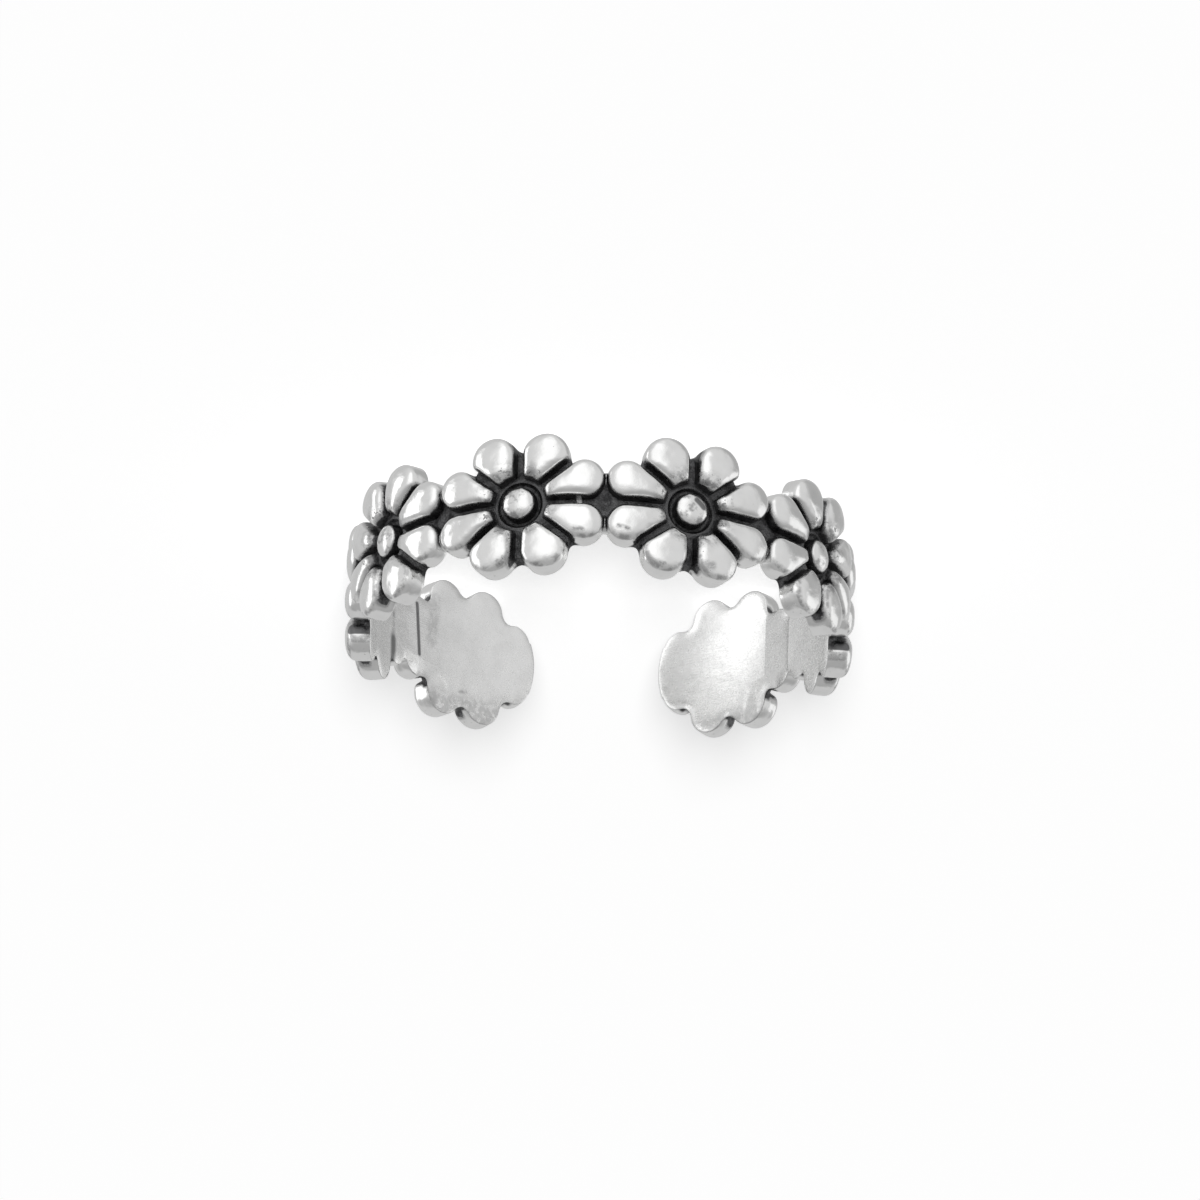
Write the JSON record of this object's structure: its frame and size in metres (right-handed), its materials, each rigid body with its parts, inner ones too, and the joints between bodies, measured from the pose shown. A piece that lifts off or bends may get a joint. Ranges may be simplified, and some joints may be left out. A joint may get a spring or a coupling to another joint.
{
  "type": "toe ring",
  "caption": "Open silver toe ring: a row of domed daisies with dark grooves, cast in one piece and bent into a band that springs open at the back.",
  "frame": {"origin": "on the bore's axis, at the level of the surface that the ring lies on, which is the lower end of the bore", "axes": "+Z along the bore's axis, up from the surface; the opening between the two end daisies faces +Y and the closed side -Y; X runs from side to side, across the ring's mirror plane"},
  "size_m": [0.017, 0.0163, 0.0048],
  "materials": {
    "silver": "polished sterling silver with oxidised, nearly black grooves"
  },
  "bodies": {
    "root": {"daisy_band": "silver"}
  },
  "joints": []
}
